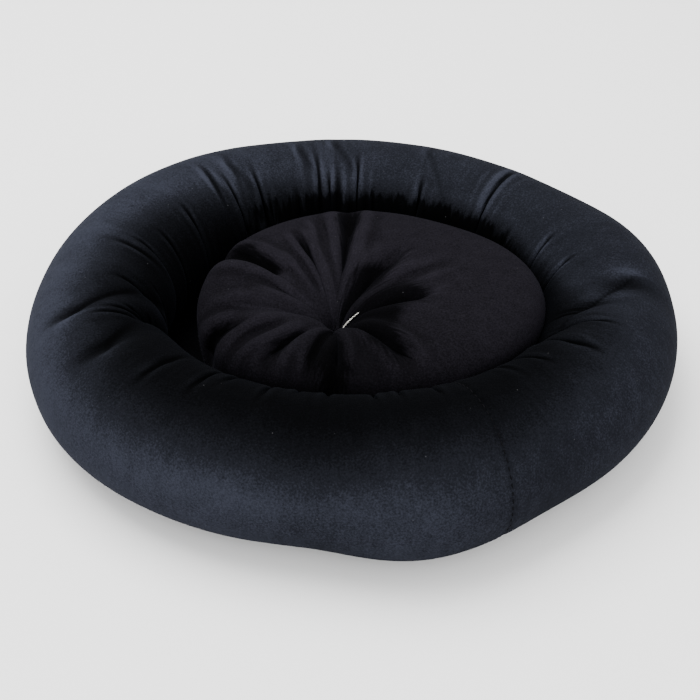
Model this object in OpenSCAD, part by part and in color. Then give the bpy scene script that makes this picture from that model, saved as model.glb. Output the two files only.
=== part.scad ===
// Oval pet bed: a stuffed velvet ring on a thin floor, with a loose tufted cushion in the nest.
// Units are millimetres. The underside lies on Z = 0, X runs along the bed and -Y is its front.
// Every piece follows one oval, the bolster's centreline, at a distance inside or outside it.

/* [Bed] */
// Overall length of the bed, along X
bed_w = 600; // [480:5:760]
// Overall depth of the bed, along Y
bed_d = 545; // [440:5:700]

/* [Bolster] */
// Diameter of the stuffed ring's section
bolster_d = 128; // [100:1:140]
// How far the section is pressed flat where it stands on the base
bolster_sink = 5; // [2:0.5:12]
// Thickness of the velvet
velvet_t = 1.2; // [0.8:0.1:2]
// Place of the seam that joins the tube's two ends, in degrees round the front arc from its middle
joint_angle = 22; // [5:1:35]
// Length of one stitch in the joining seam
stitch_len = 4; // [3:0.5:6]
// Gap between two stitches in the joining seam
stitch_gap = 3; // [2:0.5:6]

/* [Floor] */
// Thickness of the woven base cloth
base_t = 1.2; // [0.8:0.1:2]
// Thickness of the wadding between the two floor cloths
wadding_t = 6; // [3:0.5:12]
// Gap left between the floor layers and the bolster round them
floor_clearance = 0.5; // [0.2:0.1:1]

/* [Cushion] */
// Height of the loose cushion
cushion_h = 103; // [80:1:110]
// Radius of the cushion's rounded rim
rim_r = 26; // [15:1:35]
// How far the cushion's rim swells out over the bolster's bulge
rim_flare = 9; // [0:1:12]
// Gap all round between the bolster and a cushion that lies in the middle of the nest
nest_gap = 17; // [8:1:25]
// Gap that is left on the side the cushion is pushed to
nest_clearance = 2.5; // [1:0.5:6]
// Direction in which the cushion is pushed, in degrees from +X
push_angle = 16; // [0:1:90]
// Gap between the cushion and the floor under it
rest_gap = 0.4; // [0.3:0.1:1]

/* [Tuft] */
// Tuft's distance to the left of the cushion's middle
tuft_left = 28; // [0:1:45]
// Tuft's distance to the front of the cushion's middle
tuft_front = 36; // [0:1:45]
// Depth of the hollow that the tuft pulls into the top
tuft_depth = 38; // [20:1:45]
// Radius of that hollow at the top of the cushion
tuft_spread = 80; // [60:1:90]
// Depth of the smaller hollow underneath
under_depth = 9; // [5:1:15]
// Radius of the hollow underneath
under_spread = 45; // [30:1:60]
// Length of the bar stitch underneath
bar_len = 10; // [6:1:20]
// Length of the loose thread end on the top
thread_end = 13; // [6:1:20]

/* [Threads] */
// Diameter of the strong thread in the seams
seam_thread_d = 1.4; // [1:0.1:2]
// Diameter of the tuft's thread
tuft_thread_d = 1; // [0.6:0.1:1.6]

/* [Hidden] */
$fn = 96;

// The bolster's section
bolster_r = bolster_d / 2;
bolster_z = base_t + bolster_r - bolster_sink;
bolster_top = bolster_z + bolster_r;
foot_half = wall_offset(base_t);

// The centreline oval has two end arcs and two side arcs. Their centres are the corners of
// 3-4-5 triangles, so the arcs meet in tangents along the triangles' long sides.
half_x = bed_w / 2 - bolster_r;
half_y = bed_d / 2 - bolster_r;
long_half = max(half_x, half_y);
short_half = min(half_x, half_y);
unit = (long_half - short_half) / 2;
end_shift = 3 * unit;
side_shift = 4 * unit;
end_r = long_half - end_shift;
side_r = short_half + side_shift;
turned = half_y > half_x ? 90 : 0;

// The layers of the floor
floor_t = base_t + wadding_t + velvet_t;
floor_edge = -wall_offset(floor_t) - floor_clearance;

// The cushion's place
cushion_z = floor_t + rest_gap;
cushion_top = cushion_z + cushion_h;
cushion_edge = -bolster_r - nest_gap;
seam_z = cushion_z + cushion_h / 2;
seam_edge = -sqrt((bolster_r + nest_gap) ^ 2 - max(0, seam_z - bolster_z) ^ 2);
push = nest_gap - nest_clearance;
cushion_x = push * cos(push_angle);
cushion_y = push * sin(push_angle);

// The tuft's place, and the spheres that shape its two hollows
tuft_x = cushion_x - tuft_left;
tuft_y = cushion_y - tuft_front;
top_ball = ball_r(tuft_spread, tuft_depth);
under_ball = ball_r(under_spread, under_depth);
tuft_low = cushion_z + under_depth;
tuft_high = cushion_top - tuft_depth;

// Half the width of the bolster's section at height z
function wall_offset(z) = sqrt(bolster_r ^ 2 - (bolster_z - z) ^ 2);

// How far below the bolster's middle, in degrees, its surface is at height z
function wall_angle(z) = asin((bolster_z - z) / bolster_r);

// Radius of the sphere that cuts a hollow of this spread and depth
function ball_r(spread, depth) = (spread ^ 2 + depth ^ 2) / (2 * depth);

// Sweeps a section along the oval. Its X is the distance from each arc's own centre, $arc_r.
// A side arc's sector stops at the long axis, as its centre may lie outside the piece.
module along_oval() {
    rotate([0, 0, turned]) for (side = [0, 180]) rotate([0, 0, side]) {
        intersection() {
            $arc_r = end_r;
            translate([end_shift, 0, 0]) rotate_extrude() children();
            wedge([end_shift, 0], [3, 4], [3, -4]);
        }
        intersection() {
            $arc_r = side_r;
            translate([0, -side_shift, 0]) rotate_extrude() children();
            wedge([0, -side_shift], [-3, 4], [3, 4]);
            translate([-bed_w, 0, -bolster_d]) cube([2 * bed_w, bed_d, 3 * bolster_d]);
        }
    }
}

// Tall wedge between two directions from a corner, past the edge of the bed
module wedge(corner, one, other) {
    translate([0, 0, -bolster_d]) linear_extrude(3 * bolster_d)
        polygon([corner, corner + one * bed_w, corner + other * bed_w]);
}

// Flat oval plate whose edge lies at a distance from the centreline
module oval_plate(edge, low, thick) {
    along_oval() translate([0, low]) square([$arc_r + edge, thick]);
}

// The bolster's section, less a layer of cloth
module bolster_section(layer) {
    intersection() {
        translate([$arc_r, bolster_z]) circle(r = bolster_r - layer);
        translate([$arc_r - bolster_r, base_t + layer]) square(2 * bolster_r);
    }
}

// Thread that runs round the oval
module oval_thread(edge, z) {
    along_oval() translate([$arc_r + edge, z]) circle(d = seam_thread_d, $fn = 24);
}

// Section of the cushion from the oval's middle out, less a layer of cloth. Its side is straight
// up to the middle of the bolster, and follows the bolster's curve above that.
module cushion_section(layer) {
    rim_x = cushion_edge + rim_flare - rim_r;
    cut_r = bolster_r + nest_gap + layer;
    difference() {
        union() {
            for (z = [cushion_z + rim_r, cushion_top - rim_r])
                translate([$arc_r + rim_x, z]) circle(r = rim_r - layer);
            translate([0, cushion_z + layer]) square([$arc_r + rim_x, cushion_h - 2 * layer]);
            translate([0, cushion_z + rim_r])
                square([$arc_r + rim_x + rim_r - layer, cushion_h - 2 * rim_r]);
        }
        translate([$arc_r, bolster_z]) circle(r = cut_r);
        translate([$arc_r - cut_r, 0]) square([cut_r, bolster_z]);
    }
}

// The cushion's solid, less a layer of cloth, with the two hollows of the tuft
module cushion_solid(layer) {
    difference() {
        translate([cushion_x, cushion_y, 0]) along_oval() cushion_section(layer);
        translate([tuft_x, tuft_y, tuft_high + top_ball]) sphere(r = top_ball + layer);
        translate([tuft_x, tuft_y, tuft_low - under_ball]) sphere(r = under_ball + layer);
    }
}

// One half of the cushion's velvet, between two heights
module cushion_panel(low, high) {
    intersection() {
        difference() {
            cushion_solid(0);
            cushion_solid(velvet_t);
        }
        translate([-bed_w / 2, -bed_d / 2, low]) cube([bed_w, bed_d, high - low]);
    }
}

// Woven cloth under the whole bed, which it stands on
module base_panel() {
    color([0.06, 0.06, 0.07]) oval_plate(foot_half, 0, base_t);
}

// Thin pad between the floor cloths
module floor_wadding() {
    color([0.85, 0.85, 0.83]) oval_plate(floor_edge, base_t, wadding_t);
}

// Velvet floor of the nest
module floor_panel() {
    color([0.035, 0.035, 0.045]) oval_plate(floor_edge, base_t + wadding_t, velvet_t);
}

// Fibre that fills the ring
module bolster_filling() {
    color([0.9, 0.9, 0.88]) along_oval() bolster_section(velvet_t);
}

// Velvet tube round the filling
module bolster_cover() {
    color([0.03, 0.032, 0.045]) along_oval() difference() {
        bolster_section(0);
        bolster_section(velvet_t);
    }
}

// Stitches round the section where the tube's ends are joined, at the front. The row stays clear
// of the seam under the outer side and of the gathering thread at the floor.
module bolster_joint_stitches() {
    clear = (stitch_len + 2 * seam_thread_d) / bolster_r * 180 / PI;
    first = clear - wall_angle(base_t);
    last = 180 + wall_angle(floor_t) - clear;
    step = (stitch_len + stitch_gap) / bolster_r * 180 / PI;
    count = floor((last - first) / step);
    arc = turned == 0 ? side_r : end_r;
    shift = turned == 0 ? side_shift : -end_shift;
    color([0.02, 0.02, 0.025])
        translate([0, shift, 0]) rotate([0, 0, joint_angle - 90]) translate([arc, 0, bolster_z])
            for (i = [0:count])
                rotate([0, -first - i * step, 0]) translate([bolster_r - velvet_t / 4, 0, 0])
                    cylinder(h = stitch_len, d = velvet_t, center = true, $fn = 16);
}

// Drawstring thread that gathers the cover's inner edge down to the floor
module gathering_thread() {
    color([0.02, 0.02, 0.025]) oval_thread(floor_edge, floor_t);
}

// Seam that closes the cover's outer edge on the base cloth
module base_edge_seam() {
    color([0.02, 0.02, 0.025]) oval_thread(foot_half, base_t);
}

// Fibre that fills the cushion
module cushion_filling() {
    color([0.9, 0.9, 0.88]) cushion_solid(velvet_t);
}

// Velvet below the rim seam
module cushion_bottom_panel() {
    color([0.032, 0.03, 0.038]) cushion_panel(0, seam_z);
}

// Velvet above the rim seam
module cushion_top_panel() {
    color([0.04, 0.036, 0.045]) cushion_panel(seam_z, seam_z + cushion_h);
}

// Thread in the seam round the rim
module cushion_rim_seam() {
    color([0.02, 0.02, 0.025]) translate([cushion_x, cushion_y, 0])
        oval_thread(seam_edge - seam_thread_d / 4, seam_z);
}

// Hand stitches that close the opening where the filling went in, at the back of the rim
module cushion_closing_stitches() {
    arc = turned == 0 ? side_r : end_r;
    shift = turned == 0 ? -side_shift : end_shift;
    step = (stitch_len + stitch_gap) / (arc + seam_edge) * 180 / PI;
    color([0.02, 0.02, 0.025])
        translate([cushion_x, cushion_y + shift, 0])
            for (i = [-6:6])
                rotate([0, 0, 90 + i * step]) translate([arc + seam_edge - velvet_t / 4, 0, seam_z])
                    rotate([35, 0, 0])
                        cylinder(h = stitch_len, d = velvet_t, center = true, $fn = 16);
}

// Thread through the cushion that holds the tuft, with its cut end on the top
module tuft_thread() {
    color([0.75, 0.74, 0.7]) translate([tuft_x, tuft_y, 0]) {
        translate([0, 0, tuft_low]) cylinder(h = tuft_high - tuft_low, d = tuft_thread_d, $fn = 24);
        translate([0, 0, tuft_high]) sphere(d = 2 * tuft_thread_d, $fn = 24);
        translate([0, 0, tuft_high + tuft_thread_d]) rotate([0, 70, 25])
            cylinder(h = thread_end, d = tuft_thread_d, $fn = 24);
    }
}

// Bar stitch under the cushion, with the tuft's thread wound round its middle and tied
module tuft_knot() {
    color([0.75, 0.74, 0.7]) translate([tuft_x, tuft_y, tuft_low - tuft_thread_d]) rotate([0, 90, 0]) {
        cylinder(h = bar_len, d = 2 * tuft_thread_d, center = true, $fn = 24);
        cylinder(h = bar_len / 3, d = 4 * tuft_thread_d, center = true, $fn = 32);
    }
}

base_panel();
floor_wadding();
floor_panel();
bolster_filling();
bolster_cover();
bolster_joint_stitches();
gathering_thread();
base_edge_seam();
cushion_filling();
cushion_bottom_panel();
cushion_top_panel();
cushion_rim_seam();
cushion_closing_stitches();
tuft_thread();
tuft_knot();
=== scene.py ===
import math

import bpy
import numpy as np
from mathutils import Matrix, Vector


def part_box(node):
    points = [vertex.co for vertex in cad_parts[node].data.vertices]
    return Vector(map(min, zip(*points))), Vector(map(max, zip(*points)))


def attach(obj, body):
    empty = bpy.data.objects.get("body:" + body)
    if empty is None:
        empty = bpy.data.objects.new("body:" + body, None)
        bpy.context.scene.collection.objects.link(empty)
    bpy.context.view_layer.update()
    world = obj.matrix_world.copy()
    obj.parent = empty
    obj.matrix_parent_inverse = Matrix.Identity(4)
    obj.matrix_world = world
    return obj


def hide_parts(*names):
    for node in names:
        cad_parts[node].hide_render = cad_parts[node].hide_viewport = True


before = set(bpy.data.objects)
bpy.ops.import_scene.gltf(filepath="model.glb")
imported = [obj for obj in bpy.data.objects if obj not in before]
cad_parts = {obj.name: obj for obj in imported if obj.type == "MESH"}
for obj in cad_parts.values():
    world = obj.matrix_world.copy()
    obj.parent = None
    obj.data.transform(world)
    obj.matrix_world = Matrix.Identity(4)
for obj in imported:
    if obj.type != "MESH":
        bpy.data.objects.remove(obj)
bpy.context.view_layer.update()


# Base cloth. One oval of plain woven polyester under the whole bed, cut a little inside the
# bolster's widest line and sewn to the foot of the bolster's cover. The bed stands on it.
around_cloth = 240


def skin(name, points, size, ring_closed=False):
    """Mesh over a grid that runs round in its first direction. size is how far its UVs run each way."""
    around, across = points.shape[:2]
    index = np.arange(around * across).reshape(around, across)
    a, b = index, np.roll(index, -1, 0)
    c, d = np.roll(b, -1, 1), np.roll(a, -1, 1)
    if not ring_closed:
        a, b, c, d = (x[:, :-1] for x in (a, b, c, d))
    quads = np.stack([a, b, c, d], -1).reshape(-1, 4)
    faces = quads.tolist()
    if not ring_closed:
        faces += [index[::-1, 0].tolist(), index[:, -1].tolist()]
    mesh = bpy.data.meshes.new(name)
    mesh.from_pydata(points.reshape(-1, 3).tolist(), [], faces)
    u, v = quads // across, quads % across
    u = np.where((u == 0) & (u.max(1, keepdims=True) == around - 1), around, u)
    v = np.where((v == 0) & (v.max(1, keepdims=True) == across - 1), across, v)
    uv = np.zeros((len(mesh.loops), 2), np.float32)
    uv[: quads.size, 0] = u.ravel() / around * size[0]
    uv[: quads.size, 1] = v.ravel() / across * size[1]
    mesh.uv_layers.new(name="cloth").data.foreach_set("uv", uv.ravel())
    mesh.shade_smooth()
    mesh.update()
    piece = bpy.data.objects.new(name, mesh)
    bpy.context.scene.collection.objects.link(piece)
    return piece


def oval_layer(name, half, low, high, edge, relief=None, rows=26):
    """A closed, thin oval layer, rounded by edge at its rim. relief(x, y) lifts its upper face."""
    # clockwise, so that the faces of a grid that starts at the middle of its top point outwards
    t = np.linspace(2 * np.pi, 0, around_cloth, endpoint=False)[:, None]
    grow = np.linspace(0.02, 1, rows) ** 0.8
    bend = np.linspace(90, -90, 7)[1:-1] * np.pi / 180
    inset = np.r_[grow * 0 + edge, edge * (1 - np.cos(bend)), grow * 0 + edge]
    share = np.r_[grow, bend * 0 + 1, grow[::-1]]
    middle, thick = (low + high) / 2, (high - low) / 2
    z = np.r_[grow * 0 + middle + thick, middle + thick * np.sin(bend), grow * 0 + middle - thick]
    x = (half[0] - inset) * share * np.cos(t)
    y = (half[1] - inset) * share * np.sin(t)
    z = z + 0 * t
    if relief:
        upper = z > middle
        z = np.where(upper, z + relief(x, y), z)
    return skin(name, np.stack([x, y, z], -1), (1, 2))


def nodes_of(material):
    """Starts a material's nodes: returns a maker of nodes, a linker and the Principled shader."""
    material.use_nodes = True
    tree = material.node_tree
    shader = tree.nodes["Principled BSDF"]

    def node(kind, **settings):
        made = tree.nodes.new("ShaderNode" + kind)
        for key, value in settings.items():
            if hasattr(made, key):
                setattr(made, key, value)
            else:
                made.inputs[key.replace("_", " ").title()].default_value = value
        return made

    return node, tree.links.new, shader


def woven(name, dark, light, thread):
    """Plain weave: two crossed sets of threads, each thread in metres wide."""
    material = bpy.data.materials.new(name)
    node, link, shader = nodes_of(material)
    place = node("TexCoord")
    repeat = 0.314  # distance over which a wave texture of scale 1 repeats
    warp = node("TexWave", wave_type="BANDS", bands_direction="X", Scale=repeat / thread / 2)
    weft = node("TexWave", wave_type="BANDS", bands_direction="Y", Scale=repeat / thread / 2)
    fuzz = node("TexNoise", Scale=700, Detail=3)
    over = node("Math", operation="MULTIPLY")
    tone = node("Math", operation="MULTIPLY_ADD")
    ramp = node("ValToRGB")
    bump = node("Bump", Strength=0.5, Distance=0.0004)
    for texture in (warp, weft, fuzz):
        link(place.outputs["Object"], texture.inputs["Vector"])
    link(warp.outputs["Fac"], over.inputs[0])
    link(weft.outputs["Fac"], over.inputs[1])
    link(over.outputs[0], tone.inputs[0])
    tone.inputs[1].default_value = 0.6
    link(fuzz.outputs["Fac"], tone.inputs[2])
    link(tone.outputs[0], ramp.inputs["Fac"])
    ramp.color_ramp.elements[0].color = (*dark, 1)
    ramp.color_ramp.elements[1].color = (*light, 1)
    ramp.color_ramp.elements[0].position = 0.3
    link(ramp.outputs["Color"], shader.inputs["Base Color"])
    link(tone.outputs[0], bump.inputs["Height"])
    link(bump.outputs["Normal"], shader.inputs["Normal"])
    shader.inputs["Roughness"].default_value = 0.85
    return material


cloth_low, cloth_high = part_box("base_panel")
base_cloth = oval_layer("base_cloth", (cloth_high.x, cloth_high.y), cloth_low.z, cloth_high.z, edge=0.0006)
base_cloth.data.materials.append(
    woven("woven_base", (0.006, 0.006, 0.008), (0.03, 0.03, 0.035), thread=0.0008))
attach(base_cloth, "bed")
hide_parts("base_panel")


# Floor wadding. A thin pad of needled polyester between the base cloth and the velvet floor,
# a loose white felt of fibres. It is shut in all round, and only fills out the floor.
pad_low, pad_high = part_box("floor_wadding")


def felt(name, dark, light):
    """Matted fibres, with no weave."""
    material = bpy.data.materials.new(name)
    node, link, shader = nodes_of(material)
    place = node("TexCoord")
    fibres = node("TexNoise", Scale=900, Detail=5, Distortion=1.5)
    ramp = node("ValToRGB")
    bump = node("Bump", Strength=0.6, Distance=0.0006)
    link(place.outputs["Object"], fibres.inputs["Vector"])
    link(fibres.outputs["Fac"], ramp.inputs["Fac"])
    ramp.color_ramp.elements[0].color = (*dark, 1)
    ramp.color_ramp.elements[1].color = (*light, 1)
    link(ramp.outputs["Color"], shader.inputs["Base Color"])
    link(fibres.outputs["Fac"], bump.inputs["Height"])
    link(bump.outputs["Normal"], shader.inputs["Normal"])
    shader.inputs["Roughness"].default_value = 0.95
    return material


under_puckers = 0.0008  # room for the puckers of the velvet that lies on it
pad_top = pad_high.z - under_puckers
wadding = oval_layer("wadding_pad", (pad_high.x, pad_high.y), pad_low.z, pad_top, edge=0.0025)
wadding.data.materials.append(felt("needled_wadding", (0.6, 0.59, 0.56), (0.82, 0.81, 0.78)))
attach(wadding, "bed")
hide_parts("floor_wadding")


# Velvet floor. One oval of the same plush as the bolster, laid on the wadding and caught in the
# gathering seam all round, which draws small puckers in from its edge. The cushion lies on it.
velvet_low, velvet_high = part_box("floor_panel")


def bell(angle, middle, width):
    """1 at an angle in degrees, falling off within a width either side of it."""
    return np.exp(-((((angle - middle + 180) % 360) - 180) / width) ** 2)


def ease(value, low, high):
    """0 below low, 1 above high, smooth between."""
    t = np.clip((value - low) / (high - low), 0, 1)
    return t * t * (3 - 2 * t)


def velvet(name, dark, light, soft, tint):
    """Plush velvet: a short dense pile that looks dark or light by the way it was last stroked, with painted
    light and shade on top.

    One value stored on the piece runs from 0, dark, to 1, light: how light the pile looks by the way it lies,
    together with painted light and shade. Another is 1 where the pile is turned over and where painted shade
    falls.
    soft is how gradually it turns, from 0 to 0.5, and tint is the colour of its faint sheen.
    """
    material = bpy.data.materials.new(name)
    node, link, shader = nodes_of(material)
    place, cloth = node("TexCoord"), node("UVMap")
    cloth.uv_map = "cloth"
    lay_and_painted_light, brushed_and_painted_shade = node("Attribute"), node("Attribute")
    lay_and_painted_light.attribute_name, brushed_and_painted_shade.attribute_name = "lay_and_painted_light", "brushed_and_painted_shade"

    def texture(source, stretch, scale, detail):
        stretched = node("Mapping")
        stretched.inputs["Scale"].default_value = stretch
        noise = node("TexNoise", Scale=scale, Detail=detail)
        link(source, stretched.inputs["Vector"])
        link(stretched.outputs["Vector"], noise.inputs["Vector"])
        return noise.outputs["Fac"]

    def sum_of(start, *terms):
        total = None
        for value, share in terms:
            step = node("Math", operation="MULTIPLY_ADD")
            link(value, step.inputs[0])
            step.inputs[1].default_value = share
            step.inputs[2].default_value = start
            if total is not None:
                link(total, step.inputs[2])
            total = step.outputs[0]
        return total

    def remap(value, kind, source, target):
        scaled = node("MapRange", interpolation_type=kind)
        for key, limit in zip(("From Min", "From Max", "To Min", "To Max"), (*source, *target)):
            scaled.inputs[key].default_value = limit
        link(value, scaled.inputs["Value"])
        return scaled.outputs["Result"]

    grain = texture(place.outputs["Object"], (1, 1, 1), 620, 3)
    mottle = texture(place.outputs["Object"], (1, 1, 1), 55, 4)
    streaks = texture(cloth.outputs["UV"], (240, 40, 1), 1, 4)
    tone = sum_of(-0.375, (lay_and_painted_light.outputs["Fac"], 1.0), (mottle, 0.13), (grain, 0.50), (streaks, 0.12))
    ramp = node("ValToRGB")
    for part in (0.25, 0.5, 0.75):
        ramp.color_ramp.elements.new(part)
    for stop in ramp.color_ramp.elements:
        stop.color = (*(a ** (1 - stop.position) * b**stop.position for a, b in zip(dark, light)), 1)
    link(tone, ramp.inputs["Fac"])
    # where the pile is turned back and where painted shade falls, it keeps only a share of its light, behind
    # a ragged edge
    edge = sum_of(-0.7, (brushed_and_painted_shade.outputs["Fac"], 1.0), (streaks, 1.0), (mottle, 0.4))
    brushed_and_shaded_share = 0.15
    shade = remap(edge, "SMOOTHSTEP", (0.5 - soft, 0.5 + soft), (1.0, brushed_and_shaded_share))
    colour = node("VectorMath", operation="SCALE")
    link(ramp.outputs["Color"], colour.inputs[0])
    link(shade, colour.inputs["Scale"])
    # a few specks of pale lint, in the middle of some cells
    lint = node("TexVoronoi", Scale=60)
    link(place.outputs["Object"], lint.inputs["Vector"])
    speck = remap(lint.outputs["Distance"], "LINEAR", (0.035, 0.022), (0.0, 0.14))
    dusted = node("Mix", data_type="RGBA")
    link(speck, dusted.inputs["Factor"])
    link(colour.outputs["Vector"], dusted.inputs["A"])
    dusted.inputs["B"].default_value = (0.16, 0.16, 0.17, 1)
    link(dusted.outputs["Result"], shader.inputs["Base Color"])
    pile = node("Bump", Strength=0.35, Distance=0.0006)
    link(grain, pile.inputs["Height"])
    crush = node("Bump", Strength=0.25, Distance=0.004)
    link(mottle, crush.inputs["Height"])
    link(pile.outputs["Normal"], crush.inputs["Normal"])
    link(crush.outputs["Normal"], shader.inputs["Normal"])
    shader.inputs["Roughness"].default_value = 0.9
    shader.inputs["Specular IOR Level"].default_value = 0.01
    shader.inputs["Sheen Weight"].default_value = 0.006
    shader.inputs["Sheen Roughness"].default_value = 0.45
    shader.inputs["Sheen Tint"].default_value = (*tint, 1)
    return material


def store_lay_and_painted_light(piece, lay_and_painted_light, brushed_and_painted_shade):
    """Stores, at each point of the cloth, how light the pile looks by the way it lies and by painted light
    and shade, and where it is turned over and painted shade falls, for velvet() to read.
    """
    for name, value in (("lay_and_painted_light", lay_and_painted_light), ("brushed_and_painted_shade", brushed_and_painted_shade)):
        layer = piece.data.attributes.new(name, "FLOAT", "POINT")
        layer.data.foreach_set("value", np.ascontiguousarray(value, np.float32).ravel())


def puckers(x, y):
    """Soft dents where a pet has lain, and radial puckers a little in from the sewn edge."""
    bearing = np.arctan2(y, x)
    inward = (1 - np.hypot(x / velvet_high.x, y / velvet_high.y)) * velvet_high.y
    ripple = np.cos(46 * bearing + 2 * np.sin(5 * bearing)) * (0.6 + 0.4 * np.sin(7 * bearing + 1))
    dents = 0.00025 * np.sin(31 * x + 2) * np.cos(37 * y) - 0.0002
    return 0.0011 * (ripple + 0.4) * ease(inward, 0.001, 0.010) * (1 - ease(inward, 0.014, 0.045)) + dents


floor_velvet = oval_layer("floor_velvet", (velvet_high.x, velvet_high.y), velvet_low.z, velvet_high.z,
                          edge=0.0005, relief=puckers, rows=90)
floor_dark, floor_light = (0.00036, 0.00038, 0.00046), (0.0200, 0.0220, 0.0300)
floor_velvet.data.materials.append(
    velvet("floor_velvet", floor_dark, floor_light, soft=0.25, tint=(0.66, 0.72, 1.0)))
spots = len(floor_velvet.data.vertices)
store_lay_and_painted_light(floor_velvet, np.full(spots, 0.3), np.full(spots, 0.15))
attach(floor_velvet, "bed")
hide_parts("floor_panel")


# Bolster. A velvet tube, stuffed with fibre and bent into a ring. Its outer side is taut. The
# cloth of its inner side is too long for the shorter way round, so a thread gathers it into
# pleats at the floor, and they run out over the crest as folds.
cover_low, cover_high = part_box("bolster_cover")
bolster_r = 0.064
bolster_z = cover_high.z - bolster_r
ring_half = np.array([cover_high.x, cover_high.y]) - bolster_r
joint_turn = -65.0  # where the tube's two ends meet, in degrees round the oval from +X
columns, rows = 840, 118  # of the cover's grid: round the ring, and round its section
swelling = 0.0053  # the cover starts thinner by this, because the filling will push it out
sinking = 0.003  # and lower by this, because its sewn underside lets it swell only upwards
off_base = cover_low.z + 0.0004  # height at which the cover rests on the base cloth


def facing_of(points):
    """Unit normals of a grid that runs round in its first direction."""
    side = np.roll(points, -1, 0) - np.roll(points, 1, 0)
    rise = np.roll(points, -1, 1) - np.roll(points, 1, 1)
    out = np.cross(side, rise)
    return out / (np.sqrt((out * out).sum(-1, keepdims=True)) + 1e-12)


def crests(points, reach):
    """How far each point of a grid stands above those a few columns either side, in metres."""
    middle = (np.roll(points, reach, 0) + np.roll(points, -reach, 0)) / 2
    return ((points - middle) * facing_of(points)).sum(-1)


def settle(points, long_u, long_v, fixed, keep_out, ring_closed, give):
    """Lets a stuffed cloth find its shape: it may fold but not stretch, and the filling pushes out.

    long_u and long_v are the cloth's own lengths between points, round the grid and across it.
    keep_out(points) moves points out of what is in their way, and give is the farthest they may go.
    """
    steps = 200
    push, kept_speed, follow = 0.00002, 0.88, 0.32
    points = points.astype(np.float32)
    start, speed = points.copy(), np.zeros_like(points)
    slant = np.hypot(long_u, long_v)
    # each tie: columns and rows to the other end, length, and how much it resists being shortened
    far_u = long_u + np.roll(long_u, -1, 0)
    far_v = long_v + np.roll(long_v, -1, 1)
    ties = [(1, 0, long_u, 0.35), (0, 1, long_v, 0.35), (1, 1, slant, 0.12), (1, -1, slant, 0.12),
            (2, 0, far_u, 0.10), (0, 2, far_v, 0.10)]
    for _ in range(steps):
        move = np.zeros_like(points)
        for du, dv, length, stiff in ties:
            gap = np.roll(points, (-du, -dv), (0, 1)) - points
            now = np.sqrt((gap * gap).sum(-1)) + 1e-9
            strain = (now - length) / now
            pull = np.where(strain > 0, 0.5, 0.5 * stiff) * strain
            if dv > 0 and not ring_closed:
                pull[:, -dv:] = 0
            if dv < 0 and not ring_closed:
                pull[:, :-dv] = 0
            tug = pull[..., None] * gap
            move += tug
            move -= np.roll(tug, (du, dv), (0, 1))
        speed = kept_speed * speed + follow * move + push * facing_of(points)
        speed[fixed] = 0
        points = points + speed
        shift = points - start
        far = np.sqrt((shift * shift).sum(-1, keepdims=True)) + 1e-9
        points = start + shift * np.minimum(1, give / far)
        points = keep_out(points)
    return points


def swell_at(bearing):
    """How far the ring stands out, or in where it is slack, from the plain oval at a bearing."""
    # bearing and width of each swelling in degrees, and its size in metres
    swells = [(14, 12, 0.006), (40, 22, -0.004), (92, 20, 0.001), (134, 24, 0.0065), (180, 20, -0.003),
              (216, 16, 0.0025), (264, 12, -0.004), (284, 18, 0.011), (308, 10, -0.002)]
    return sum(size * bell(bearing, at, wide) for at, wide, size in swells)


def press_at(bearing):
    """How far the cushion, which leans on the ring's right end, presses it outwards."""
    return 0.0045 * bell(bearing, 2, 42)


# section is 0 at the ring's outermost line, 90 on top, 180 at its innermost line and -90 underneath
turn = joint_turn + np.arange(columns)[:, None] * 360 / columns
section = -90 + np.arange(rows)[None, :] * 360 / rows
angle = np.radians(turn)
along = np.stack([np.cos(angle) * ring_half[0], np.sin(angle) * ring_half[1]], -1)
facing = np.stack([np.cos(angle) / ring_half[0], np.sin(angle) / ring_half[1]], -1)
facing /= np.linalg.norm(facing, axis=-1, keepdims=True)
bearing = np.degrees(np.arctan2(along[..., 1], along[..., 0]))
pressed = press_at(bearing)
radius = bolster_r - swelling + 0.5 * swell_at(bearing) - pressed
lean, lift = np.cos(np.radians(section)), np.sin(np.radians(section))
outward = radius * lean + swell_at(bearing) + pressed
height = np.maximum(bolster_z - sinking + radius * lift, off_base)
plain = np.concatenate([along + facing * outward[..., None], height[..., None]], -1)

# pleats and folds: bearing at the crest and at the floor, section angles where it starts and ends,
# then depth, width and spare cloth that it takes up, in metres
folds = [(135, 126, 84, 234, 0.0055, 0.006, 0.006), (128, 116, 82, 234, 0.0060, 0.006, 0.006),
         (106, 96, 72, 234, 0.0060, 0.006, 0.006), (96, 81, 64, 234, 0.0060, 0.006, 0.005),
         (92, 94, 116, 200, 0.0040, 0.006, 0.007), (87, 58, 98, 234, 0.0050, 0.006, 0.003),
         (71, 49, 66, 234, 0.0060, 0.006, 0.004), (47, 44, 70, 234, 0.0050, 0.007, 0.009),
         (0, -31, 64, 234, 0.0160, 0.012, 0.007), (-16, -25, 84, 234, 0.0080, 0.008, 0.006),
         (-7, -20, 92, 234, 0.0040, 0.006, 0.003), (-30, -31, 82, 234, 0.0080, 0.009, 0.009),
         (-41, -38, 100, 234, 0.0045, 0.008, 0.008), (-50, -47, 96, 234, 0.0040, 0.007, 0.007),
         (170, 168, 100, 234, 0.0040, 0.010, 0.009), (196, 176, 58, 234, 0.0120, 0.011, 0.006),
         (201, 190, 56, 234, 0.0060, 0.008, 0.004), (211, 188, 66, 234, 0.0180, 0.020, 0.007),
         (222, 225, 76, 116, 0.0130, 0.012, 0.010), (232, 236, 90, 130, 0.0060, 0.009, 0.009)]
chance = np.random.default_rng(11)
for bearing_low in np.arange(240, 296, 8.5):
    tilt = chance.uniform(-6, 6)
    folds.append((bearing_low + tilt, bearing_low, chance.uniform(100, 118), 234, 0.0040, 0.006, 0.008))
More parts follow.
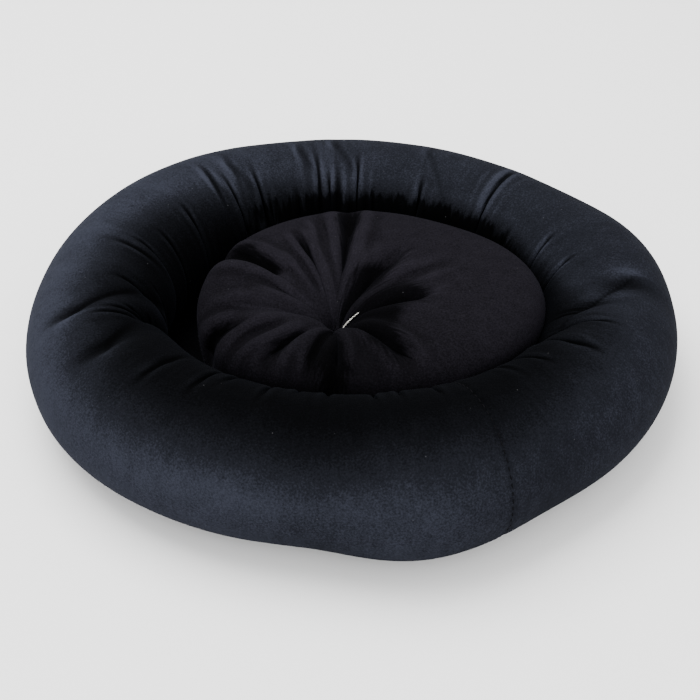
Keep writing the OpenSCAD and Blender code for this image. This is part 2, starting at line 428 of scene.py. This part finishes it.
for bearing_low in (34, 20, 8, 66, 90, 108, 121, 145, 158, 166, 182, -34, -42):
    folds.append((bearing_low + chance.uniform(-3, 3), bearing_low, chance.uniform(122, 142), 234,
                  0.0035, 0.005, 0.006))

bell_area = 1.77  # of a bell one high and one wide
down = ease(section, 50, 205)
way_round = np.hypot(*ring_half) / math.sqrt(2) + outward
spare = 0.05 * ease(section, 105, 190) + 0 * turn  # share of extra cloth that is gathered in
dent = 0 * way_round
for crest_at, floor_at, begins, ends, deep, wide, takes in folds:
    line = crest_at + (floor_at - crest_at) * down
    line = np.where(section > 250, floor_at, line)  # under the ring there is nothing to turn
    away = (((bearing - line + 180) % 360) - 180) * np.pi / 180 * way_round
    there = ease(section, begins - 12, begins + 22) * (1 - ease(section, ends - 12, ends + 12))
    ridge = np.exp(-((away - 2.1 * wide) / (1.5 * wide)) ** 2)
    dent = dent - deep * there * (np.exp(-(away / wide) ** 2) - 0.55 * ridge)
    spare = spare + takes / (wide * bell_area) * there * np.exp(-(away / wide) ** 2)

normal = np.concatenate([facing * lean[..., None], (lift + 0 * turn)[..., None]], -1)
seeded = plain + normal * dent[..., None]
long_u = np.linalg.norm(np.roll(plain, -1, 0) - plain, axis=-1) * (1 + spare)
long_v = np.linalg.norm(np.roll(plain, -1, 1) - plain, axis=-1)
under = plain[..., 2] < cover_low.z + 0.002  # sewn to the base cloth


def above_base(points):
    """Keeps the cover on the base cloth."""
    points[..., 2] = np.maximum(points[..., 2], off_base)
    return points


cover = settle(seeded, long_u, long_v, under, above_base, ring_closed=True, give=0.012)

# the joint: a narrow groove along the stitches, with short puckers either side of it
from_joint = (((turn - joint_turn + 180) % 360) - 180) * np.pi / 180 * way_round
down_joint = np.radians(section) * bolster_r
stitched = ease(section, -70, -55) * (1 - ease(section, 215, 232))
groove = 0.0009 * np.exp(-(from_joint / 0.003) ** 2)
wander = 1.8 * np.sin(2 * np.pi * down_joint / 0.031)  # so that they aren't evenly spaced
pucker = 0.0005 * np.sin(2 * np.pi * down_joint / 0.0085 + wander)
pucker = pucker * np.exp(-(np.abs(from_joint) / 0.010) ** 1.5)
cover = cover - facing_of(cover) * (stitched * (groove - pucker))[..., None]

ring_long = 2 * np.pi * float(np.sqrt((ring_half**2).mean()))
bolster = skin("bolster", cover, (ring_long, 2 * np.pi * bolster_r), ring_closed=True)
bolster_dark, bolster_light = (0.00036, 0.00038, 0.00046), (0.0200, 0.0220, 0.0310)
bolster.data.materials.append(
    velvet("bolster_velvet", bolster_dark, bolster_light, soft=0.14, tint=(0.62, 0.7, 1.0)))

# where the lighter outer side turns into the darker inner side, partly by the way the pile lies and partly
# painted light and shade: bearing, then the section angle where it turns over and how gradually, in degrees
turnings = [(0, 146, 16), (20, 154, 14), (40, 140, 14), (100, 138, 16), (140, 130, 34), (180, 108, 48),
            (220, 64, 56), (260, 59, 46), (280, 65, 46), (300, 72, 48), (340, 104, 50), (360, 146, 16)]
turning_bearing, turning_at, turning_width = zip(*turnings)
turned_at = np.interp(bearing % 360, turning_bearing, turning_at)
gradual = np.interp(bearing % 360, turning_bearing, turning_width)
inner_side = ease(section, turned_at - gradual, turned_at + gradual)
# painted light on the outer side, lighter at the left end and in a band low down at the front left, and
# painted shade on the inner side, a little lighter at the back
outer_lay_and_painted_light = 0.75 + 0.17 * bell(bearing, 180, 60) - 0.03 * bell(bearing, 300, 25)
outer_lay_and_painted_light = outer_lay_and_painted_light - 0.05 * bell(bearing, 0, 22)
outer_lay_and_painted_light = outer_lay_and_painted_light + bell(bearing, 250, 30) * (0.04 + 0.08 * bell(section, 20, 18))
inner_lay_and_painted_shade = 0.08 + 0.32 * bell(bearing, 80, 60)
lay_and_painted_light = outer_lay_and_painted_light + (inner_lay_and_painted_shade - outer_lay_and_painted_light) * inner_side
# painted highlight on the crest of a fold and painted shade in its hollow, fainter at the joint
off_joint = 1 - 0.85 * np.exp(-(from_joint / 0.02) ** 2)
lay_and_painted_light = lay_and_painted_light + 0.14 * off_joint * np.clip(crests(cover, 3) / 0.0008, -2, 1.2)
lay_and_painted_light = lay_and_painted_light + 0.10 * np.clip(crests(cover, 10) / 0.003, -1.5, 1)
# painted shade, with turned-over pile, on the inner side towards the back, behind a ragged edge
brushed_and_painted_shade = ease(section, turned_at - 18, turned_at + 20) * bell(bearing, 65, 70)
store_lay_and_painted_light(bolster, lay_and_painted_light, np.clip(brushed_and_painted_shade, 0, 1))
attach(bolster, "bed")
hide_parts("bolster_cover", "bolster_filling")


# Threads of the bed. Strong two-ply polyester: ladder stitches that join the tube's two ends, the
# drawstring that gathers the inner edge down to the floor, and the seam on the base cloth's edge.


def twisted(name, lines, thick, pitch=0.0035):
    """Lengths of two-ply thread, each a line of points, as one piece with rounded ends."""
    points, faces, sides = [], [], 10
    theta = np.arange(sides) * 2 * np.pi / sides
    for line in lines:
        line = np.asarray(line, float)
        ahead = np.gradient(line, axis=0)
        ahead /= np.linalg.norm(ahead, axis=1, keepdims=True)
        handy = np.eye(3)[np.argmin(np.abs(ahead).max(0))]
        across = np.cross(ahead, handy)
        across /= np.linalg.norm(across, axis=1, keepdims=True)
        other = np.cross(ahead, across)
        run = np.r_[0, np.cumsum(np.linalg.norm(np.diff(line, axis=0), axis=1))]
        end = np.minimum(run, run[-1] - run)
        taper = np.sqrt(np.clip(1 - (1 - np.clip(end / (thick / 2), 0.02, 1)) ** 2, 0, 1))
        ply = 0.80 + 0.20 * np.abs(np.cos(theta[None, :] - (np.pi * run / pitch)[:, None]))
        reach = thick / 2 * taper[:, None] * ply
        loops = line[:, None] + reach[..., None] * (np.cos(theta)[None, :, None] * across[:, None]
                                                    + np.sin(theta)[None, :, None] * other[:, None])
        first = len(points)
        points.extend(loops.reshape(-1, 3).tolist())
        for i in range(len(line) - 1):
            for k in range(sides):
                a, b = first + i * sides + k, first + i * sides + (k + 1) % sides
                faces.append((a, b, b + sides, a + sides))
        last = first + (len(line) - 1) * sides
        faces.append(tuple(range(first + sides - 1, first - 1, -1)))
        faces.append(tuple(range(last, last + sides)))
    mesh = bpy.data.meshes.new(name)
    mesh.from_pydata(points, [], faces)
    mesh.shade_smooth()
    mesh.update()
    piece = bpy.data.objects.new(name, mesh)
    bpy.context.scene.collection.objects.link(piece)
    return piece


def stitches(path, normals, every, long, thick, slant=0.0, closed=False):
    """Lines of single stitches along a path on the cloth. Their ends dip into it."""
    along_stitch = np.linspace(-0.5, 0.5, 11)
    if closed:
        path, normals = np.vstack([path, path[:1]]), np.vstack([normals, normals[:1]])
    run = np.r_[0, np.cumsum(np.linalg.norm(np.diff(path, axis=0), axis=1))]
    count = max(1, int(run[-1] / every))
    lines = []
    for i in range(count):
        middle = (i + 0.5) * run[-1] / count
        at = middle + along_stitch * long * math.cos(slant)
        spot = np.stack([np.interp(at, run, path[:, k]) for k in range(3)], 1)
        out = np.array([np.interp(middle, run, normals[:, k]) for k in range(3)])
        out /= np.linalg.norm(out)
        over = np.cross(out, spot[-1] - spot[0])
        over /= np.linalg.norm(over)
        rise = thick * (0.95 * np.sqrt(np.clip(1 - (2 * along_stitch) ** 2, 0, 1)) - 0.75)
        aside = along_stitch * long * math.sin(slant)
        lines.append(spot + out * rise[:, None] + over * aside[:, None])
    return lines


def spun(name, dark, light):
    """Spun thread: fine fibres along its plies."""
    material = bpy.data.materials.new(name)
    node, link, shader = nodes_of(material)
    place = node("TexCoord")
    fibres = node("TexNoise", Scale=4500, Detail=2)
    ramp = node("ValToRGB")
    bump = node("Bump", Strength=0.4, Distance=0.0001)
    link(place.outputs["Object"], fibres.inputs["Vector"])
    link(fibres.outputs["Fac"], ramp.inputs["Fac"])
    ramp.color_ramp.elements[0].color = (*dark, 1)
    ramp.color_ramp.elements[1].color = (*light, 1)
    link(ramp.outputs["Color"], shader.inputs["Base Color"])
    link(fibres.outputs["Fac"], bump.inputs["Height"])
    link(bump.outputs["Normal"], shader.inputs["Normal"])
    shader.inputs["Roughness"].default_value = 0.8
    shader.inputs["Specular IOR Level"].default_value = 0.02
    return material


black_thread = spun("black_thread", (0.001, 0.001, 0.0013), (0.005, 0.005, 0.006))
cover_faces = facing_of(cover)


def row_for(section_angle):
    """Number of the row of the cover's grid at a section angle."""
    return int(round((section_angle + 90) / 360 * rows))


joint = np.s_[0, row_for(-58):row_for(228)]
floor_edge, foot = np.s_[:, row_for(232)], np.s_[:, row_for(-66)]
bed_threads = [
    ("bolster_joint_stitches",
     stitches(cover[joint], cover_faces[joint], every=0.007, long=0.004, thick=0.0009)),
    ("gathering_thread",
     stitches(cover[floor_edge], cover_faces[floor_edge], every=0.009, long=0.0062, thick=0.0014,
              closed=True)),
    ("base_edge_seam",
     stitches(cover[foot], cover_faces[foot], every=0.007, long=0.0045, thick=0.0012, closed=True))]
for name, lines in bed_threads:
    sewn = twisted(name + "_sewn", lines, 0.0014 if name == "gathering_thread" else 0.0011)
    sewn.data.materials.append(black_thread)
    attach(sewn, "bed")
    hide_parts(name)


# Cushion. Two rounds of velvet sewn together at the rim, stuffed full and closed by hand. A
# thread through it pulls the top down, off its middle, so the cloth folds in towards the tuft.
# It lies loose in the nest, pushed to the right and the back, where the bolster holds it.
panel_low, panel_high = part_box("cushion_top_panel")
knot_low, knot_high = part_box("tuft_knot")
rest_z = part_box("cushion_bottom_panel")[0].z
pressed_in = (0.006, -0.001)  # how far it leans into the bolster's soft right end
cushion_swelling = 0.006  # it starts smaller by this, because the filling will push it out
rim_at = np.array([panel_low.x + panel_high.x, panel_low.y + panel_high.y]) / 2 + pressed_in
rim_half = np.array([panel_high.x - panel_low.x, panel_high.y - panel_low.y]) / 2 - cushion_swelling
tuft_at = np.array([knot_low.x + knot_high.x, knot_low.y + knot_high.y]) / 2
rim_z, crown_z, tuft_z = 0.078, 0.102, 0.056  # of its widest line, its top and the tuft, to start with
spokes, top_rows, side_rows = 480, 110, 54  # of its grid, which has its middle at the tuft

# distance from the tuft to the oval of the rim, along a ray at each bearing theta; the rim is a
# little flatter than the oval in two places and fuller in one
theta = np.arange(spokes)[:, None] * 360 / spokes
ray = np.concatenate([np.cos(np.radians(theta)), np.sin(np.radians(theta))], -1)
from_mid = (tuft_at - rim_at) / rim_half
step = ray / rim_half
square, half_b, rest = (step**2).sum(-1), (step * from_mid).sum(-1), (from_mid**2).sum() - 1
fuller = 1 - 0.06 * bell(theta, 48, 26) - 0.07 * bell(theta, 160, 42) + 0.07 * bell(theta, 214, 24)
rim_far = ((-half_b + np.sqrt(half_b**2 - square * rest)) / square)[:, None] * fuller

# share runs from the middle of the underside (2) out to the rim (1) and in over the top to the tuft (0)
below = 1 + np.linspace(1, 0, side_rows + 1)[:-1] ** 0.9 * 0.985
share = np.r_[below, np.linspace(1, 0.02, top_rows) ** 1.1]
latitude = (share * np.pi / 2)[None, :]
top = share[None, :] <= 1
spread = np.where(top, np.sin(latitude) ** 0.85, np.clip(np.sin(latitude), 0, 1) ** 0.4)
far = rim_far * spread
tall = np.abs(np.cos(latitude))
z = np.where(top, rim_z + (crown_z - rim_z) * tall**0.75, rim_z - (rim_z - rest_z - 0.001) * tall**0.6)
pit = (crown_z - tuft_z) * np.exp(-((far / 0.046) ** 1.15)) * top
pit_under = 0.008 * np.exp(-((far / 0.03) ** 1.5)) * ~top
place = tuft_at + ray[:, None, :] * far[..., None]
rounded = np.concatenate([place, (z - pit + pit_under)[..., None]], -1)


def clear_of_bolster(points):
    """Moves points of the cushion out of the bolster and up to the floor."""
    x, y = points[..., 0], points[..., 1]
    # the nearest place on the oval that the bolster follows, by two steps of Newton's method
    t = np.arctan2(y / ring_half[1], x / ring_half[0])
    for _ in range(2):
        c, s = np.cos(t), np.sin(t)
        gap_x, gap_y = x - ring_half[0] * c, y - ring_half[1] * s
        t = t + (gap_y * ring_half[1] * c - gap_x * ring_half[0] * s) / (ring_half**2).mean()
    c, s = np.cos(t), np.sin(t)
    face_x, face_y = c / ring_half[0], s / ring_half[1]
    size = np.hypot(face_x, face_y)
    face_x, face_y = face_x / size, face_y / size
    from_middle = np.degrees(np.arctan2(ring_half[1] * s, ring_half[0] * c))
    squeezed, between = press_at(from_middle), 0.001
    moved_out = swell_at(from_middle) + squeezed
    wall = bolster_r + 0.5 * moved_out - 1.5 * squeezed + between
    out = (x - ring_half[0] * c) * face_x + (y - ring_half[1] * s) * face_y - moved_out
    rise = points[..., 2] - bolster_z
    near = np.hypot(out, rise) + 1e-9
    scale = np.where(near < wall, wall / near, 1)
    points[..., 0] = x + (scale - 1) * out * face_x
    points[..., 1] = y + (scale - 1) * out * face_y
    points[..., 2] = np.maximum(points[..., 2] + (scale - 1) * np.maximum(rise, 0), rest_z)
    return points


rounded = clear_of_bolster(rounded)
# folds that run out from the tuft: bearing in degrees, then depth, width, start and end in metres
tucks = [(84, 0.010, 0.0075, 0.004, 0.150), (50, 0.008, 0.011, 0.004, 0.095), (3, 0.008, 0.008, 0.004, 0.085),
         (-50, 0.009, 0.007, 0.028, 0.100), (-88, 0.010, 0.006, 0.004, 0.085),
         (-104, 0.007, 0.0045, 0.008, 0.080), (-130, 0.009, 0.007, 0.032, 0.085),
         (-150, 0.005, 0.005, 0.050, 0.100), (196, 0.009, 0.008, 0.075, 0.125),
         (184, 0.005, 0.009, 0.008, 0.105), (138, 0.010, 0.008, 0.062, 0.135),
         (109, 0.006, 0.0035, 0.004, 0.110), (118, 0.003, 0.004, 0.030, 0.085),
         (155, 0.003, 0.005, 0.006, 0.080), (97, 0.003, 0.004, 0.010, 0.130),
         (71, 0.003, 0.005, 0.004, 0.060), (27, 0.002, 0.006, 0.060, 0.120)]
dent, spare = 0 * far, 0 * far
for at, deep, wide, begins, ends in tucks:
    away = (((theta - at + 180) % 360) - 180) * np.pi / 180 * far
    broad = wide * (0.35 + 0.65 * ease(far, 0, 0.07))
    there = top * ease(far, begins, begins + 0.02) * (1 - ease(far, ends * 0.8, ends * 1.12))
    shoulders = np.exp(-((np.abs(away) - 2 * broad) / broad) ** 2)
    dent = dent - deep * there * (np.exp(-(away / broad) ** 2) - 0.4 * shoulders)
    spare = spare + 0.5 * deep / broad * there * np.exp(-(away / broad) ** 2)
drawn_in = 0.010 * top * (1 - ease(latitude, 0.8, 1.5))
spare = spare + np.minimum(drawn_in / (far + 0.004), 1.2) * 0.5
seeded = rounded + facing_of(rounded) * dent[..., None]
long_u = np.linalg.norm(np.roll(rounded, -1, 0) - rounded, axis=-1) * (1 + spare)
long_v = np.linalg.norm(np.roll(rounded, -1, 1) - rounded, axis=-1) * 1.02
fixed = np.zeros(far.shape, bool)  # only the tuft and the middle of the underside are held
fixed[:, -1:] = fixed[:, :2] = True
stuffed = settle(seeded, long_u, long_v, fixed, clear_of_bolster, ring_closed=False, give=0.014)

cushion = skin("cushion", stuffed, (1.0, 0.30))
cushion_dark, cushion_light = (0.00040, 0.00036, 0.00046), (0.0215, 0.0195, 0.0270)
cushion.data.materials.append(
    velvet("cushion_velvet", cushion_dark, cushion_light, soft=0.30, tint=(0.7, 0.7, 0.95)))
# painted shade on the cushion's underside
underside_painted_shade = ~top * ease(share[None, :], 1.0, 1.3)
# darker in front of the tuft and towards the left, painted shade underneath, and painted highlight on the
# crests of folds with painted shade in their hollows
lay_and_painted_light = 0.62 - 0.18 * bell(theta, 275, 50) * ease(far, 0, 0.05)
lay_and_painted_light = lay_and_painted_light - 0.10 * bell(theta, 190, 50) * ease(far, 0.05, 0.1)
lay_and_painted_light = lay_and_painted_light - 0.12 * underside_painted_shade + 0.07 * np.clip(crests(stuffed, 5) / 0.0008, -1, 1.2)
# dark strokes, painted shade along the folds from the tuft with the pile turned over: bearing and half width
# in degrees, start and end in metres from the tuft, strength
strokes = [(54, 17, 0.002, 0.066, 1.2), (47, 10, 0.002, 0.100, 0.6), (8, 18, 0.004, 0.082, 1.2),
           (-24, 17, 0.002, 0.062, 1.1), (-50, 14, 0.018, 0.088, 1.1), (-88, 11, 0.006, 0.090, 1.1),
           (-104, 7, 0.010, 0.075, 0.9), (-130, 9, 0.032, 0.080, 0.9), (84, 5.5, 0.004, 0.145, 1.3),
           (109, 3, 0.004, 0.100, 0.9), (136, 6, 0.062, 0.125, 0.9), (196, 6, 0.080, 0.125, 0.9),
           (126, 12, 0.100, 0.135, 0.3)]
# painted shade underneath to start with, then the dark strokes
brushed_and_painted_shade = 0.35 * underside_painted_shade + 0 * far
for at, wide, begins, ends, strong in strokes:
    reached = top * ease(far, begins, begins + 0.02) * (1 - ease(far, ends * 0.8, ends * 1.3))
    brushed_and_painted_shade = brushed_and_painted_shade + strong * bell(theta, at, wide) * reached
brushed_and_painted_shade = np.clip(brushed_and_painted_shade, 0, 1)
store_lay_and_painted_light(cushion, lay_and_painted_light, brushed_and_painted_shade)
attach(cushion, "cushion")
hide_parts("cushion_top_panel", "cushion_bottom_panel", "cushion_filling")


# Cushion's seams. The two rounds of velvet are machine sewn at the rim, and the opening that the
# filling went in by is closed by hand with slanted stitches, at the back.
rim_row = int(np.argmin(np.abs(stuffed[..., 2].mean(0) - panel_low.z)[: side_rows]))
stuffed_faces = facing_of(stuffed)
rim_line, rim_faces = stuffed[:, rim_row], stuffed_faces[:, rim_row]
backmost, half_opening = int(np.argmax(rim_line[:, 1])), 20
opening = np.arange(backmost - half_opening, backmost + half_opening + 1)
cushion_threads = [
    ("cushion_rim_seam",
     stitches(rim_line, rim_faces, every=0.007, long=0.004, thick=0.0009, closed=True), 0.0009),
    ("cushion_closing_stitches",
     stitches(rim_line[opening], rim_faces[opening], every=0.0065, long=0.006, thick=0.0010,
              slant=math.radians(35)), 0.0010)]
for name, lines, thick in cushion_threads:
    sewn = twisted(name + "_sewn", lines, thick)
    sewn.data.materials.append(black_thread)
    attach(sewn, "cushion")
    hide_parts(name)


# Tuft. Pale two-ply thread goes through the cushion and back, round a bar stitch underneath that
# keeps it from pulling through, and is knotted on the top, where its two cut ends lie free.
pale_thread = spun("pale_thread", (0.34, 0.33, 0.30), (0.72, 0.70, 0.65))
tuft_top = float(stuffed[:, -1, 2].mean())
tuft_under = float(stuffed[:, 0, 2].mean())


def over_cushion(spots, rise):
    """Smooth line over the cushion through a few places, in metres from the tuft, whose end stands up."""
    spots = np.array(spots, float)
    run = np.r_[0, np.cumsum(np.linalg.norm(np.diff(spots, axis=0), axis=1))]
    fine = np.linspace(0, run[-1], int(run[-1] / 0.0004))
    flat = np.stack([np.interp(fine, run, spots[:, k]) for k in range(2)], 1) + tuft_at
    cloth = stuffed[:, side_rows:].reshape(-1, 3)
    apart = np.linalg.norm(cloth[None, :, :2] - flat[:, None], axis=-1)
    highest = np.where(apart < 0.0022, cloth[None, :, 2], tuft_top).max(1)  # of the cloth beside it
    line = np.hstack([flat, highest[:, None]])
    for _ in range(40):
        line[1:-1] = (line[:-2] + 2 * line[1:-1] + line[2:]) / 4
    line[:, 2] = np.maximum(line[:, 2], highest) + 0.0006 + rise * fine / fine[-1]
    return line


# turns of thread round the tuft, the thread down through the cushion, and the two cut ends
lap = np.linspace(0, 4.6 * np.pi, 60)
wound = np.stack([0.0016 * np.cos(lap), 0.0014 * np.sin(lap), 0.0004 + 0.0018 * lap / lap[-1]], 1)
down_through = np.stack([0 * lap, 0 * lap, np.linspace(0.001, tuft_under - tuft_top, len(lap))], 1)
at_tuft = np.array([tuft_at[0], tuft_at[1], tuft_top])
ends = [over_cushion([(0.001, -0.002), (0.008, -0.003), (0.016, -0.003)], 0.001),
        over_cushion([(0.001, 0), (0.011, -0.002), (0.022, -0.001)], 0.002),
        wound + at_tuft, down_through + at_tuft]
tuft_thread = twisted("tuft_thread_knotted", ends, 0.0009, pitch=0.0022)
tuft_thread.data.materials.append(pale_thread)

# the bar stitch: two threads side by side across the hollow underneath, bound in the middle
bar = np.linspace(-1, 1, 31)[:, None]
bar_half = (knot_high.x - knot_low.x) / 2
dip = 0.0012 - 0.0022 * (1 - bar**4)
bar_lines = [np.hstack([bar * bar_half, 0 * bar + side, dip]) for side in (-0.0005, 0.0005)]
loop = np.linspace(0, 12 * np.pi, 120)
bound = [0.0016 * (loop / loop[-1] * 2 - 1), 0.0013 * np.cos(loop), -0.001 + 0.0011 * np.sin(loop)]
bar_lines.append(np.stack(bound, 1))
under_tuft = (tuft_at[0], tuft_at[1], tuft_under)
tuft_bar = twisted("tuft_bar_stitch", [line + under_tuft for line in bar_lines], 0.0008, pitch=0.0022)
tuft_bar.data.materials.append(pale_thread)
for piece, name in ((tuft_thread, "tuft_thread"), (tuft_bar, "tuft_knot")):
    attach(piece, "cushion")
    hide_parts(name)


# Studio. A plain pale floor, one large soft lamp above, a weaker one in front, and an even pale
# light from all round, with the camera in front of the bed and looking down on it.
floor_half = 6
floor_mesh = bpy.data.meshes.new("studio_floor")
corners = [(x * floor_half, y * floor_half, 0) for x, y in ((-1, -1), (1, -1), (1, 1), (-1, 1))]
floor_mesh.from_pydata(corners, [], [(0, 1, 2, 3)])
studio_floor = bpy.data.objects.new("studio_floor", floor_mesh)
bpy.context.scene.collection.objects.link(studio_floor)
paper = bpy.data.materials.new("pale_paper")
shader = nodes_of(paper)[-1]
shader.inputs["Base Color"].default_value = (0.9, 0.9, 0.9, 1)
shader.inputs["Roughness"].default_value = 0.9
floor_mesh.materials.append(paper)

lamps = [("lamp_above", (-0.6, 0.5, 2.2), 1.8, 90), ("lamp_front", (0.3, -2.2, 1.3), 1.6, 30)]
for name, spot, size, power in lamps:
    lamp = bpy.data.lights.new(name, "AREA")
    lamp.size, lamp.energy = size, power
    holder = bpy.data.objects.new(name, lamp)
    holder.location = spot
    holder.rotation_euler = (Vector((0, 0, 0.05)) - Vector(spot)).to_track_quat("-Z", "Y").to_euler()
    bpy.context.scene.collection.objects.link(holder)

world = bpy.data.worlds.new("studio")
world.use_nodes = True
world.node_tree.nodes["Background"].inputs["Color"].default_value = (1, 1, 1, 1)
world.node_tree.nodes["Background"].inputs["Strength"].default_value = 1.7
bpy.context.scene.world = world

camera_data = bpy.data.cameras.new("camera")
camera_data.lens = 71
camera = bpy.data.objects.new("camera", camera_data)
elevation, away = math.radians(38), 1.285
target = Vector((0, -0.0275, 0.045))
camera.location = target + away * Vector((0, -math.cos(elevation), math.sin(elevation)))
camera.rotation_euler = (target - camera.location).to_track_quat("-Z", "Y").to_euler()
bpy.context.scene.collection.objects.link(camera)
bpy.context.scene.camera = camera
